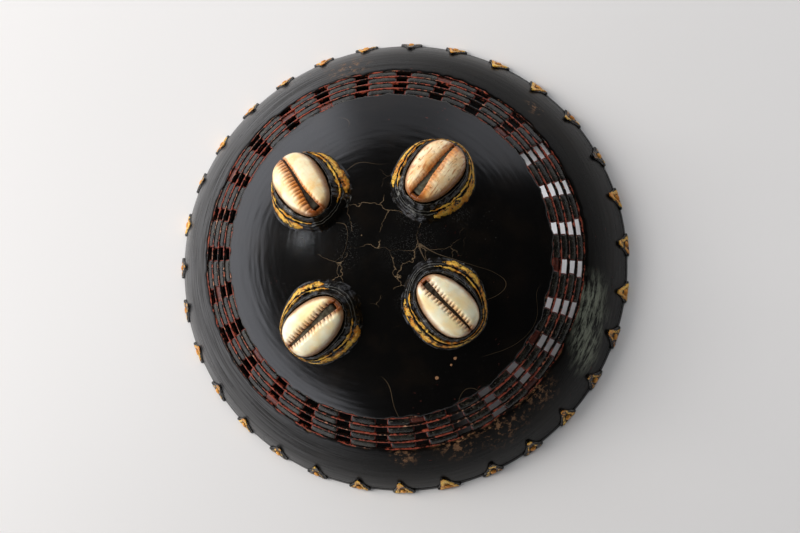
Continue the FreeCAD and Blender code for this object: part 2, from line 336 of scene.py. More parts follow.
def blackLacquer(name, cracked, gloss=0.13, shine=0.5):
    material, board, place = newMaterial(name)
    brush = coilNoise(board, place, lacquer["brushTurns"], lacquer["brushPitch"], 3.0, 0.6)
    mottle = board.noise(place, 90.0, 4.0, 0.6)
    grit = board.noise(place, 1500.0, 3.0, 0.6)
    colour = board.dye(mottle.ramp(0.45, 0.75), lacquer["black"], lacquer["warmBlack"])
    rough = gloss + mottle * 0.1 + brush * 0.06
    height = brush * 0.35 + grit * 0.05

    streaks = coilNoise(board, place, 26.0, 1.1 * mm, 2.0, 0.5)
    rust = streaks.ramp(0.70, 0.76) * board.noise(place, 26.0, 1.0).ramp(0.52, 0.66)
    colour = board.dye(rust * 0.8, colour, lacquer["rustRed"])

    # fine grey specks of dust
    dustAndSheen = board.noise(place, 2600.0, 1.0).ramp(0.74, 0.80) * board.noise(place, 60.0, 2.0).ramp(0.5, 0.7)
    colour = board.dye(dustAndSheen * 0.5, colour, lacquer["scuffGrey"])

    if cracked:
        cloud = {"Vector": place, "Scale": 170.0, "Detail": 4.0}
        wander = board.node("ShaderNodeTexNoise", {}, cloud, "Color")
        wander = board.vector("SUBTRACT", wander, (0.5, 0.5, 0.5))
        bent = board.vector("ADD", place, board.vector("MULTIPLY", wander, (lacquer["crackWander"],) * 3))
        cells = {"Vector": bent, "Scale": lacquer["crackCells"], "Randomness": 1.0}
        edge = board.node("ShaderNodeTexVoronoi", {"feature": "DISTANCE_TO_EDGE"}, cells, "Distance")
        broken = board.noise(place, 120.0, 2.0).ramp(0.44, 0.56)
        nearMiddle = fromAxis(board, place).ramp(29 * mm, 12 * mm)
        crack = edge.ramp(0.007, 0.001) * broken * nearMiddle
        hair = (board.noise(place, 34.0, 0.0, 0.5, 0.6) - 0.5).size().ramp(0.0022, 0.0006)
        hair = hair * board.noise(place, 22.0, 1.0).ramp(0.5, 0.58) * 0.35
        colour = board.dye((crack * 0.6).most(hair), colour, lacquer["crackTan"])
        height = height - crack * 0.5

        scuffed = coilNoise(board, place, 30.0, 0.5 * mm, 5.0, 0.7).ramp(0.50, 0.66)
        scuff = markMask(board, place, marks["scuffs"]) * scuffed
        colour = board.dye(scuff * 0.13, colour, lacquer["scuffGrey"])
        rough = rough + scuff * 0.2

    flaked = board.noise(place, 520.0, 5.0, 0.75).ramp(0.52, 0.60)
    bruise = markMask(board, place, marks["bruises"]) * flaked
    colour = board.dye(bruise * 0.75, colour, lacquer["bruiseTan"])
    spot = markMask(board, place, marks["spots"]).ramp(0.25, 0.4)
    colour = board.dye(spot, colour, lacquer["bruiseTan"])
    veil = coilNoise(board, place, 12.0, 1.8 * mm, 5.0, 0.7).ramp(0.40, 0.62)
    # pale grey-green patches along the streaks, at the marked places on the wall
    paleGreenPatch = markMask(board, place, marks["paleGreenPatch"]) * veil
    colour = board.dye(paleGreenPatch * 0.7, colour, lacquer["paleGreen"])
    if not cracked:
        x, y, z = board.split(place)
        azimuth = y.arcTangent(x)
        # painted sheen: the wall painted paler along its brush streaks on the side that faces the light
        paintedSheen = (azimuth - math.radians(172)).cos().ramp(-0.25, 0.85) * brush.ramp(0.25, 0.7)
        colour = board.dye(paintedSheen * lacquer["dustAndSheen"], colour, lacquer["paintedSheenGrey"])
    rough = rough + paleGreenPatch * 0.25 + bruise * 0.3 + spot * 0.3 + rust * 0.2
    height = height - bruise * 0.6
    dress(board, colour, rough, height, 0.6, 0.06 * mm, {"Specular IOR Level": shine})
    return material


def mouldedLacquer(name):  # lacquer putty worked by hand: lumpy, glossy, rubbed on its ridges, with highlights painted on in pale streaks
    material, board, place = newMaterial(name)
    lump = board.noise(place, 420.0, 3.0, 0.6)
    fine = board.noise(place, 1800.0, 3.0, 0.6)
    rubbed = (board.mark("ridge") * 0.7 + fine * 0.6).ramp(0.72, 0.95)
    brown = board.noise(place, 240.0, 3.0).ramp(0.52, 0.7)
    colour = board.dye(brown * 0.6, ink(12, 11, 9), ink(42, 32, 20))
    colour = board.dye(rubbed * 0.35, colour, ink(120, 118, 108))
    # painted highlights: pale grey streaks for glints on the glossy putty
    paintedHighlight = board.noise(place, 330.0, 5.0, 0.7, 1.2).ramp(0.56, 0.64)
    paintedHighlight = paintedHighlight * board.noise(place, 90.0, 1.0).ramp(0.46, 0.6)
    colour = board.dye(paintedHighlight * 0.5, colour, ink(150, 148, 140))
    rough = 0.1 + lump * 0.14 + rubbed * 0.15
    dress(board, colour, rough, lump * 0.9 + fine * 0.25, 1.0, 0.3 * mm)
    return material


def hoopCane(name):  # thin cane edges, red where the black has rubbed off
    material, board, place = newMaterial(name)
    fibre = coilNoise(board, place, 60.0, 0.35 * mm, 3.0, 0.65)
    patch = board.noise(place, 140.0, 3.0, 0.6)
    speck = board.noise(place, 900.0, 2.0, 0.6)
    colour = board.dye(fibre.ramp(0.35, 0.7), ink(108, 38, 26), ink(172, 84, 60))
    colour = board.dye(patch.ramp(0.5, 0.66), colour, ink(204, 152, 118))
    black = (patch * 0.6 + speck * 0.5 + board.mark("side") * 0.16).ramp(0.55, 0.65)
    colour = board.dye(black, colour, ink(20, 14, 11))
    rough = 0.42 - black * 0.22 + speck * 0.1
    dress(board, colour, rough, fibre * 0.5 + speck * 0.3, 0.7, 0.12 * mm)
    return material


def spacerLacquer(name):  # short cane blocks under mottled lacquer, brick red at their cut ends
    material, board, place = newMaterial(name)
    fibre = coilNoise(board, place, 22.0, 0.3 * mm, 4.0, 0.65)
    patch = board.noise(place, 260.0, 4.0, 0.65)
    speck = board.noise(place, 1300.0, 2.0, 0.6)
    colour = board.dye(patch.ramp(0.4, 0.65), ink(13, 12, 10), ink(38, 37, 30))
    colour = board.dye(fibre.ramp(0.56, 0.72) * 0.7, colour, ink(74, 58, 40))
    chalk = (speck * 0.6 + fibre * 0.5).ramp(0.62, 0.70)
    colour = board.dye(chalk * 0.34, colour, ink(132, 128, 110))
    end = (board.mark("end") + patch * 0.07).ramp(0.93, 1.0).most(board.mark("plug").ramp(0.4, 0.6) * 0.5)
    side = (board.mark("side") + patch * 0.5).ramp(1.16, 1.34) * 0.75
    redAmount = end.most(side) * (0.55 + patch * 0.6).held()
    brick = board.dye(speck.ramp(0.4, 0.6), ink(88, 26, 18), ink(138, 56, 38))
    colour = board.dye(redAmount, colour, brick)
    rough = 0.16 + patch * 0.2 + chalk * 0.2 + redAmount * 0.15
    dress(board, colour, rough, fibre * 0.8 + speck * 0.15, 0.8, 0.12 * mm)
    return material


def goldLeaf(name, coverage=0.5, shine=0.32):  # worn leaf over black lacquer, with a highlight painted paler on its ridges
    material, board, place = newMaterial(name)
    grain = board.noise(place, 1300.0, 4.0, 0.7)
    flake = board.noise(place, 520.0, 6.0, 0.78, 0.6)
    wash = board.noise(place, 260.0, 3.0, 0.6)
    ridge = board.mark("ridge")
    gold = board.dye(wash.ramp(0.35, 0.65), ink(222, 130, 24), ink(255, 202, 78))
    # painted highlight: paler gold on the raised ridges
    gold = board.dye((ridge * grain * 1.7).ramp(0.8, 1.1), gold, ink(255, 224, 128))
    gold = board.dye(grain.ramp(0.54, 0.66) * 0.75, gold, ink(112, 62, 16))
    scratch = coilNoise(board, place, 40.0, 0.9 * mm, 4.0, 0.7)
    kept = ridge * 0.34 + flake * 1.6 + scratch * 0.3 - board.mark("worn") * 0.34
    kept = kept.ramp(coverage, coverage + 0.05)
    colour = board.dye(kept, ink(20, 14, 8), gold)
    rough = (1 - kept) * 0.2 + shine * kept + grain * 0.14
    height = flake * 0.5 + grain * 0.5 + kept * 0.35
    dress(board, colour, rough, height, 1.0, 0.24 * mm, {"Metallic": kept * 0.3})
    return material


def goldButton(name):  # rubbed gold, darker in its grain
    material, board, place = newMaterial(name)
    grain = board.noise(place, 1100.0, 3.0, 0.6)
    wash = board.noise(place, 260.0, 2.0)
    colour = board.dye(wash.ramp(0.35, 0.65), ink(206, 132, 52), ink(240, 172, 82))
    colour = board.dye(grain.ramp(0.6, 0.72) * 0.6, colour, ink(84, 54, 24))
    dress(board, colour, 0.42 + grain * 0.15, grain, 0.5, 0.08 * mm, {"Metallic": 0.35 + wash * 0.1})
    return material


def cowrieShell(name, look):  # cream, orange towards the lips, dark between the teeth, with shade painted near black deep in the slot
    material, board, place = newMaterial(name)
    lip, tooth, along = board.mark("lip"), board.mark("tooth"), board.mark("along")
    cloud = board.noise(place, 190.0, 3.0, 0.6)
    fine = board.noise(place, 1100.0, 4.0, 0.65)
    colour = board.dye(cloud.ramp(0.35, 0.7), *look["tones"])
    warm = lip.ramp(0.9, 0.15) * (0.5 + cloud * 0.7)
    colour = board.dye((warm * look["warmth"]).held(), colour, ink(208, 124, 44))
    groove = tooth.ramp(0.25, 0.95) * lip.ramp(0.62, 0.12)
    colour = board.dye((groove * look["teeth"] * 1.1).held(), colour, ink(92, 46, 18))
    stain = along.ramp(-0.55, -0.95) * lip.ramp(0.75, 0.1) * (cloud * 1.5).held()
    colour = board.dye(stain * look["stain"], colour, ink(92, 34, 20))
    pits = board.noise(place, 620.0, 5.0, 0.75).ramp(0.60, 0.66) * look["pits"]
    lengthwise = board.join(board.mark("across") * 9.0, along * 2.2, 0.0)
    streaky = board.noise(lengthwise, 1.0, 4.0, 0.6).ramp(0.52, 0.66)
    colour = board.dye((streaky * look["pits"]).held() * 0.75, colour, ink(190, 112, 52))
    colour = board.dye(pits.held() * 0.8, colour, ink(110, 62, 32))
    # painted shade: the slot's walls painted near black deep in the gap
    colour = board.dye(board.mark("deep").ramp(0.35, 0.9) * 0.92, colour, ink(36, 24, 14))
    edge = (board.mark("edge") + cloud * 0.2).ramp(0.88, 1.06)
    colour = board.dye(edge * 0.8, colour, ink(140, 76, 30))
    rough = 0.22 + cloud * 0.1 + pits * 0.3 + groove * 0.1
    flesh = {
        "Subsurface Weight": 0.12,
        "Subsurface Radius": (1.2 * mm, 0.8 * mm, 0.5 * mm),
        "Subsurface Scale": 1.0,
        "Coat Weight": 0.25,
        "Coat Roughness": 0.15,
    }
    dress(board, colour, rough, fine * 0.2 - pits * 0.8, 0.4, 0.1 * mm, flesh)
    return material


def slotPutty(name, fill):  # dry putty in the gap between the lips; dark tones on it are painted shade in an empty gap
    material, board, place = newMaterial(name)
    cloud = board.noise(place, 320.0, 4.0, 0.65)
    grit = board.noise(place, 1700.0, 3.0, 0.7)
    colour = board.dye(cloud.ramp(0.35, 0.65), *fill)
    colour = board.dye(grit.ramp(0.6, 0.68) * 0.7, colour, ink(26, 20, 14))
    dress(board, colour, 0.62 + grit * 0.2, grit + cloud * 0.5, 0.8, 0.14 * mm)
    return material


def redLacquer(name):  # dark red, with the coils showing through
    material, board, place = newMaterial(name)
    brush = coilNoise(board, place, 4.0, 0.9 * mm, 4.0, 0.6)
    cloud = board.noise(place, 60.0, 3.0, 0.6)
    worn = (brush * 0.6 + cloud * 0.6).ramp(0.68, 0.8)
    colour = board.dye(cloud.ramp(0.35, 0.7), ink(70, 16, 11), ink(46, 11, 9))
    colour = board.dye(worn * 0.6, colour, ink(46, 18, 14))
    dress(board, colour, 0.24 + cloud * 0.14, brush, 0.5, 0.08 * mm)
    return material


def bambooCore(name):  # split cane, dull and fibrous
    material, board, place = newMaterial(name)
    fibre = coilNoise(board, place, 9.0, 0.4 * mm, 4.0, 0.65)
    cloud = board.noise(place, 80.0, 2.0)
    colour = board.dye(fibre.ramp(0.35, 0.68), ink(146, 108, 66), ink(86, 56, 30))
    colour = board.dye(cloud.ramp(0.5, 0.75) * 0.5, colour, ink(48, 28, 16))
    dress(board, colour, 0.6 + cloud * 0.15, fibre, 0.8, 0.15 * mm)
    return material


print("finishes")
crownFinish = blackLacquer("crownLacquer", cracked=True)
wallFinish = blackLacquer("wallLacquer", cracked=False, gloss=0.2, shine=0.12)
mouldedFinish = mouldedLacquer("mouldedLacquer")
hoopFinish = hoopCane("hoopCane")
spacerFinish = spacerLacquer("spacerLacquer")
bandGold = goldLeaf("bandGold", coverage=1.12)
petalGold = goldLeaf("petalGold", coverage=1.02, shine=0.3)
buttonFinish = goldButton("buttonGold")
insideFinish = redLacquer("insideLacquer")
coreFinish = bambooCore("bambooCore")


shellLook = {
    "columns": 420,
    "crownRows": 120,
    "wallRows": 44,
    "innerColumns": 300,
    "innerRows": 50,
    "broadSway": 0.05 * mm,  # slow unevenness of the brushed surface
    "coilSway": 0.011 * mm,  # streaks that follow the coils
    "coilSqueeze": 9 * mm,
    "innerSway": 0.03 * mm,
    "innerCoilSway": 0.012 * mm,
    "lap": 0.42 * mm,  # how far the lacquer runs over the edge of the openwork
    "lapWander": 0.34 * mm,
    "lapLift": -0.27 * mm,
    "edgeDrop": 0.2 * mm,  # the lacquer rounds off by this much at its edges
    "edgeReach": 0.45 * mm,
    "footOutside": [(0.12 * mm, 0.1 * mm), (0.35 * mm, 0.0)],  # rim's foot: step in from its side, height
    "footInside": [(0.25 * mm, 0.0), (0.0, 0.18 * mm)],
}


def lacquerTop(azimuth, slope):  # how far the brushed surface stands off the true one
    points = onBowl(azimuth, slope, 0.0)
    sway = shellLook["broadSway"] * ripple(points, 38 * mm, 3)
    drawn = aroundAxis(points, shellLook["coilSqueeze"])
    return sway + shellLook["coilSway"] * (ripple(drawn, 3.4 * mm, 4) + 0.5 * ripple(drawn, 1.7 * mm, 5))


def lacquerShell(name, start, end, rowCount, lapStart, lapEnd, material):
    azimuth = np.linspace(0, fullTurn, shellLook["columns"], endpoint=False)
    share = np.linspace(0, 1, rowCount)[:, None]
    edge = onBowl(azimuth, np.full_like(azimuth, end), 0.0)
    wander = ripple(edge, 7 * mm, 11) + 0.7 * ripple(edge, 2.6 * mm, 12)
    reach = (shellLook["lap"] + shellLook["lapWander"] * wander) / flankArc
    first = np.full_like(azimuth, start) - (reach if lapStart else 0)
    last = np.full_like(azimuth, end) + (reach if lapEnd else 0)
    slope = first + (last - first) * share
    around = np.broadcast_to(azimuth, slope.shape)
    lift = lacquerTop(around, slope)
    rounded = np.minimum((slope - first) if start > 0 else 1.0, last - slope) * flankArc
    lift = lift - shellLook["edgeDrop"] * (1 - smooth(0, shellLook["edgeReach"], rounded))
    under = np.where((slope < start) | (slope > end), shellLook["lapLift"], -bowl["skin"])
    rows = np.concatenate([onBowl(around, slope, lift), onBowl(around, slope, under)[::-4]])
    if start > 0:
        return meshFromRows(name, rows, material, closeRows=True)
    poles = ((0, 0, float(rows[0, :, 2].mean())), (0, 0, float(rows[-1, :, 2].mean())))
    return meshFromRows(name, rows, material, poles=poles)


def insideShell(name, start, end, material):
    azimuth = np.linspace(0, fullTurn, shellLook["innerColumns"], endpoint=False)
    slope = np.linspace(start, end, shellLook["innerRows"])[:, None] + 0 * azimuth
    around = np.broadcast_to(azimuth, slope.shape)
    points = onBowl(around, slope, -bowl["wall"])
    drawn = aroundAxis(points, shellLook["coilSqueeze"])
    lift = shellLook["innerSway"] * ripple(points, 30 * mm, 21)
    lift = lift + shellLook["innerCoilSway"] * ripple(drawn, 3 * mm, 22)
    outer = onBowl(around, slope, -(bowl["wall"] - bowl["skin"]))
    rows = np.concatenate([outer, onBowl(around, slope, lift - bowl["wall"])[::-1]])
    if start > 0:
        return meshFromRows(name, rows, material, closeRows=True)
    poles = ((0, 0, float(rows[0, 0, 2])), (0, 0, float(rows[-1, 0, 2])))
    return meshFromRows(name, rows, material, poles=poles)


def rimHoop(name, material):  # the hoop under the wall's edge: lacquered outside, flat where it stands
    azimuth = np.linspace(0, fullTurn, shellLook["columns"], endpoint=False)
    rows = []
    for slope in np.linspace(hoopTop, rimSlope - 0.004, 7):
        slopes = np.full_like(azimuth, slope)
        rows.append(onBowl(azimuth, slopes, lacquerTop(azimuth, slopes)))
    inner = onBowl(azimuth, np.full_like(azimuth, hoopTop), -bowl["wall"])
    foot = [(rimRadius - step, height) for step, height in shellLook["footOutside"]]
    foot += [(rimRadius - bowl["rimFoot"] + step, height) for step, height in shellLook["footInside"]]
    for rho, height in foot:
        x, y = rho * np.cos(azimuth), rho * np.sin(azimuth)
        rows.append(np.stack([x, y, np.full_like(azimuth, height)], axis=-1))
    rows.append(inner)
    return meshFromRows(name, rows, material, closeRows=True)


print("lacquered shells")
crownPiece = lacquerShell("crownShell", 0.0, inner, shellLook["crownRows"], False, True, crownFinish)
fitPiece(crownPiece, "black_lacquer", "base_outer_lacquer")
wallPiece = lacquerShell("wallShell", outer, hoopTop, shellLook["wallRows"], True, False, wallFinish)
fitPiece(wallPiece, "black_lacquer", "wall_outer_lacquer")
fitPiece(rimHoop("rimHoopLacquered", wallFinish), "black_lacquer", "rim_hoop")
fitPiece(insideShell("insideBase", 0.0, inner, insideFinish), "red_lacquer", "base_inner_lacquer")
fitPiece(insideShell("insideWall", outer, hoopTop, insideFinish), "red_lacquer", "wall_inner_lacquer")
for coreNode in ("base_core", "wall_core"):
    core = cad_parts[coreNode]
    core.data.materials.clear()
    core.data.materials.append(coreFinish)


# Hoops, spacers and petals grow in flat coordinates, x azimuth, y slope and z lift, and are then
# wrapped on one of the bowl's arcs.
class GrowthBoard(Board):
    def __init__(self, name, inputs, arc=flankArc, middle=flankMiddle):
        super().__init__(bpy.data.node_groups.new(name, "GeometryNodeTree"))
        self.arc, self.middle = arc, middle
        kinds = {
            float: "NodeSocketFloat",
            int: "NodeSocketInt",
            bpy.types.Object: "NodeSocketObject",
            bpy.types.Material: "NodeSocketMaterial",
        }
        for label, kind in inputs.items():
            self.tree.interface.new_socket(label, in_out="INPUT", socket_type=kinds[kind])
        self.tree.interface.new_socket("Geometry", in_out="OUTPUT", socket_type="NodeSocketGeometry")
        self.entry = self.tree.nodes.new("NodeGroupInput")

    def given(self, *labels):
        return [Plug(self, self.entry.outputs[label]) for label in labels]

    def position(self):
        return self.split(self.node("GeometryNodeInputPosition"))

    def random(self, low, high, seed):
        return self.node("FunctionNodeRandomValue", {"data_type": "FLOAT"}, {2: low, 3: high, 8: seed}, 1)

    def keep(self, geometry, label, value):  # a named attribute, for materials and later nodes
        settings = {"data_type": "FLOAT", "domain": "POINT"}
        values = {"Geometry": geometry, "Name": label, "Value": value}
        return self.node("GeometryNodeStoreNamedAttribute", settings, values)

    def recall(self, label):
        settings = {"data_type": "FLOAT"}
        return self.node("GeometryNodeInputNamedAttribute", settings, {"Name": label}, "Attribute")

    def move(self, geometry, spot):
        return self.node("GeometryNodeSetPosition", {}, {"Geometry": geometry, "Position": spot})

    def points(self, count):
        return self.node("GeometryNodePoints", {}, {"Count": count})

    def plant(self, points, form, scale):
        values = {"Points": points, "Instance": form, "Scale": scale}
        return self.node("GeometryNodeInstanceOnPoints", {}, values)

    def realize(self, geometry):
        return self.node("GeometryNodeRealizeInstances", {}, {"Geometry": geometry})

    def azimuthOf(self, index):  # an even share of the turn, drifting towards one side
        count, phase, drift, driftAzimuth = self.given("Count", "Phase", "Drift", "Drift azimuth")
        even = index * fullTurn / count
        return phase + even + drift * (even - driftAzimuth).cos()

    def wrapped(self, azimuth, slope, lift):
        reach = lift + self.arc
        rho = slope.sin() * reach + self.middle[0]
        return self.join(azimuth.cos() * rho, azimuth.sin() * rho, slope.cos() * reach + self.middle[1])

    def lay(self, geometry, swayAlong, swayLift, grain, seed):  # wrapped, with uneven handwork
        azimuth, slope, lift = self.position()
        here = self.vector("ADD", self.wrapped(azimuth, slope, lift), self.join(seed * 0.37, 0.0, 0.0))
        first = self.noise(here, grain, 2.0, 0.5) - 0.5
        second = self.noise(self.vector("ADD", here, (0.3, 0.1, 0.2)), grain, 3.0, 0.6) - 0.5
        third = self.noise(self.vector("ADD", here, (0.6, 0.4, 0.9)), grain, 2.0, 0.5) - 0.5
        azimuth = azimuth + third * swayAlong * (1 / rimRadius)
        slope = slope + first * swayAlong * (1 / self.arc)
        lift = lift + second * swayLift
        return self.move(geometry, self.wrapped(azimuth, slope, lift))

    def finish(self, geometry):
        values = {"Geometry": self.realize(geometry), "Distance": mergeReach}
        merged = self.node("GeometryNodeMergeByDistance", {}, values)
        finish, = self.given("Finish")
        painted = self.node("GeometryNodeSetMaterial", {}, {"Geometry": merged, "Material": finish})
        leave = self.tree.nodes.new("NodeGroupOutput")
        self.tree.links.new(painted.socket, leave.inputs["Geometry"])
        return self.tree


def growPiece(name, tree, inputs):
    host = bpy.data.objects.new(name + "Host", bpy.data.meshes.new(name + "Host"))
    bpy.context.scene.collection.objects.link(host)
    modifier = host.modifiers.new("growth", "NODES")
    modifier.node_group = tree
    for item in tree.interface.items_tree:
        if item.in_out == "INPUT":
            modifier[item.identifier] = inputs[item.name]
    bpy.context.view_layer.update()
    grown = host.evaluated_get(bpy.context.evaluated_depsgraph_get())
    mesh = bpy.data.meshes.new_from_object(grown)
    mesh.name = name
    host.modifiers.remove(modifier)
    bpy.data.objects.remove(host)
    tidyFaces(mesh)
    piece = bpy.data.objects.new(name, mesh)
    bpy.context.scene.collection.objects.link(piece)
    return piece


band = {
    "hoops": 5,
    "hoopWidth": 0.8 * mm,
    "hoopShare": 0.95,  # of its own width, so that the uneven hoop stays inside it
    "hoopSway": 0.32 * mm,
    "hoopGrain": 260.0,  # bends to the metre
    "depth": 1.2 * mm,
    "recess": 0.35 * mm,
    "hoopStand": 0.12 * mm,  # hoops stand this far over the spacers
    "columns": 28,
    "windowAngle": 4.3,  # degrees
    "phase": -3.1,
    "drift": 1.4,
    "driftAzimuth": 189.0,
    "spacerShare": 1.06,  # of the row, so that the spacers bed into the hoops
    "spacerSway": 0.3 * mm,
    "spacerGrain": 420.0,
    "plugSink": 0.3 * mm,
    "firstSeed": 11,
    "closed": [[0, 4, 9, 17, 22, 26], [], [10, 15], [6, 12, 18, 25]],  # windows full of lacquer, row by row
}
hoopSlope = band["hoopWidth"] / flankArc
rowSlope = (outer - inner - band["hoops"] * hoopSlope) / (band["hoops"] - 1)


def hoopTree():  # a grid rolled into a flat band, its corners eased
    board = GrowthBoard("hoopGrowth", {
        "Slope": float, "Width": float, "Depth": float, "Lift": float, "Sway": float, "Seed": float,
        "Finish": bpy.types.Material,
    })
    foot, width, depth, stand, sway, seed = board.given("Slope", "Width", "Depth", "Lift", "Sway", "Seed")
    size = {"Size X": fullTurn, "Size Y": fullTurn, "Vertices X": 721, "Vertices Y": 13}
    sheet = board.node("GeometryNodeMeshGrid", {}, size, "Mesh")
    along, turn, _ = board.position()
    across, rise = turn.cos(), turn.sin()
    sheet = board.keep(sheet, "side", across.size())
    squared = across * (1.35 - across * across * 0.35)
    slope = foot + squared * width * 0.5
    lift = stand + (rise - 1.0) * depth * 0.5
    flat = board.move(sheet, board.join(along, slope, lift))
    return board.finish(board.lay(flat, sway, sway * 0.7, band["hoopGrain"], seed))


def spacerTree(closedColumns):  # a row of blocks between windows, and lower plugs in the closed windows
    board = GrowthBoard("spacerGrowth", {
        "Count": int, "Slope": float, "Width": float, "Depth": float, "Lift": float, "Window": float,
        "Phase": float, "Drift": float, "Drift azimuth": float, "Sway": float, "Seed": int,
        "Finish": bpy.types.Material,
    })
    count, slope, fullWidth, depth = board.given("Count", "Slope", "Width", "Depth")
    stand, window, sway, seed = board.given("Lift", "Window", "Sway", "Seed")

    size = {"Size": (1, 1, 1), "Vertices X": 13, "Vertices Y": 5, "Vertices Z": 4}
    block = board.node("GeometryNodeMeshCube", {}, size, "Mesh")
    x, y, z = board.position()
    farX, farY = (x * 2.0).size(), (y * 2.0).size()
    block = board.keep(block, "end", farX)
    block = board.keep(block, "side", farY)
    crown = 1.0 - (farX ** 14.0) * 0.22 - (farY ** 6.0) * 0.16
    easedX, easedY = x * (1.0 - (farY ** 6.0) * 0.025), y * (1.0 - (farX ** 10.0) * 0.16)
    block = board.move(block, board.join(easedX, easedY, (z + 0.5) * crown - 1.0))

    def rowOf(points, azimuth, length, width, deep, lift):
        points = board.move(points, board.join(azimuth, slope, lift))
        return board.plant(points, block, board.join(length, width, deep))

    index = board.node("GeometryNodeInputIndex")
    left = board.azimuthOf(index) + window * 0.5 * board.random(0.72, 1.22, seed)
    right = board.azimuthOf(index + 1.0) - window * 0.5 * board.random(0.78, 1.2, seed + 7.0)
    lift = stand + board.random(-0.06 * mm, 0.1 * mm, seed + 3.0)
    width = fullWidth * board.random(0.94, 1.03, seed + 5.0)
    blocks = rowOf(board.points(count), (left + right) * 0.5, right - left, width, depth, lift)

    if closedColumns:
        shut = 0.0
        for column in closedColumns:
            shut = (index - float(column)).size().isBelow(0.5) + shut
        spots = board.keep(board.points(count), "number", index)
        values = {"Geometry": spots, "Selection": 1.0 - shut}
        spots = board.node("GeometryNodeDeleteGeometry", {"domain": "POINT"}, values)
        azimuth, lift = board.azimuthOf(board.recall("number")), stand - band["plugSink"]
        plugs = rowOf(spots, azimuth, window * 1.15, fullWidth * 0.97, depth * 0.7, lift)
        plugs = board.keep(board.realize(plugs), "plug", 1.0)
        together = board.node("GeometryNodeJoinGeometry", {}, {0: blocks})
        board.tree.links.new(plugs.socket, together.socket.node.inputs[0])
        blocks = together
    laid = board.lay(board.realize(blocks), sway, sway * 0.8, band["spacerGrain"], seed)
    return board.finish(laid)


print("openwork")
hoopGrowth = hoopTree()
for index in range(band["hoops"]):
    middle = inner + index * (hoopSlope + rowSlope) + hoopSlope / 2
    hoop = growPiece("hoop%d" % (index + 1), hoopGrowth, {
        "Slope": middle, "Width": hoopSlope * band["hoopShare"], "Depth": band["depth"],
        "Lift": band["hoopStand"] - band["recess"], "Sway": band["hoopSway"], "Seed": index + 1.0,
        "Finish": hoopFinish,
    })
    fitPiece(hoop, "hoop_cane", "openwork_hoop_%d" % (index + 1))
for index in range(band["hoops"] - 1):
    middle = inner + hoopSlope + index * (hoopSlope + rowSlope) + rowSlope / 2
    spacers = growPiece("spacerRow%d" % (index + 1), spacerTree(band["closed"][index]), {
        "Count": band["columns"], "Slope": middle, "Width": rowSlope * band["spacerShare"],
        "Depth": band["depth"], "Lift": -band["recess"], "Window": math.radians(band["windowAngle"]),
        "Phase": math.radians(band["phase"]), "Drift": math.radians(band["drift"]),
        "Drift azimuth": math.radians(band["driftAzimuth"]), "Sway": band["spacerSway"],
        "Seed": band["firstSeed"] + index, "Finish": spacerFinish,
    })
    fitPiece(spacers, "spacer_lacquer", "openwork_spacers_%d" % (index + 1))


petalLook = {
    "count": 31,
    "phase": 4.9,  # degrees
    "drift": 1.4,
    "driftAzimuth": 125.6,
    "footSlope": 72.8,
    "height": 8.3 * mm,
    "width": 7.9 * mm,
    "shoulder": 1.1 * mm,
    "waist": (0.62, 3.4 * mm),  # share of the half width, and how high up
    "tip": 0.45 * mm,
    "giltWaist": (0.66, 3.1 * mm),
    "giltTip": 0.66 * mm,
    "plate": 0.35 * mm,  # thickness of the plate, of the relief and of the button over it
    "relief": 0.5 * mm,
    "buttonStand": 0.75 * mm,
    "margin": 0.5 * mm,
    "button": 1.15 * mm,
    "buttonUp": 1.75 * mm,
    "lean": 0.16,
    "sway": 0.3 * mm,
    "grain": 520.0,
    "seed": 5,
}


def evenRound(half, count):  # points spaced evenly round an outline that is given by its right half
    (footX, footY), mirrored = half[0], [(-x, y) for x, y in half[:0:-1]]
    corners = np.array([(-footX, footY), *half, *mirrored, (-footX, footY)], float)
    lengths = np.hypot(*np.diff(corners, axis=0).T)
    stations = np.concatenate([[0], np.cumsum(lengths)])
    wanted = np.linspace(0, stations[-1], count, endpoint=False)
    points = np.stack([np.interp(wanted, stations, corners[:, axis]) for axis in (0, 1)], axis=-1)
    for _ in range(2):
        points = (np.roll(points, 1, axis=0) + 2 * points + np.roll(points, -1, axis=0)) / 4
    return points


def reliefForm(name, look):  # a low relief: rings of points drawn in to its middle
    middle, rise, bottom = np.array(look["middle"]), look["rise"], look["bottom"]
    shares = np.concatenate([[1.0, 1.0], np.linspace(0.985, 0.0, look["rings"])[:-1]])
    rows, marks = [], []
    for index, share in enumerate(shares):
        points = middle + share * (look["outline"] - middle)
        height = np.full(len(points), bottom) if index == 0 else rise(points)
        if index == 1:
            height = bottom + (height - bottom) * 0.75
        rows.append(np.column_stack([points, height]))
        marks.append(np.clip((height - petalLook["plate"]) / petalLook["relief"], 0, 1))
    poles = ((*middle, bottom), (*middle, float(rise(np.array([middle]))[0])))
    return meshFromRows(name, rows, look["finish"], poles=poles, marks={"ridge": marks})


def petalPlateRise(points):  # flat, with a small knob at each foot corner
    u, v = np.abs(points[:, 0]), points[:, 1]
    corner = np.hypot(u - petalLook["width"] / 2 + 0.55 * mm, v - 0.75 * mm)
    return petalLook["plate"] + 0.55 * mm * np.exp(-(corner / (0.62 * mm)) ** 2)


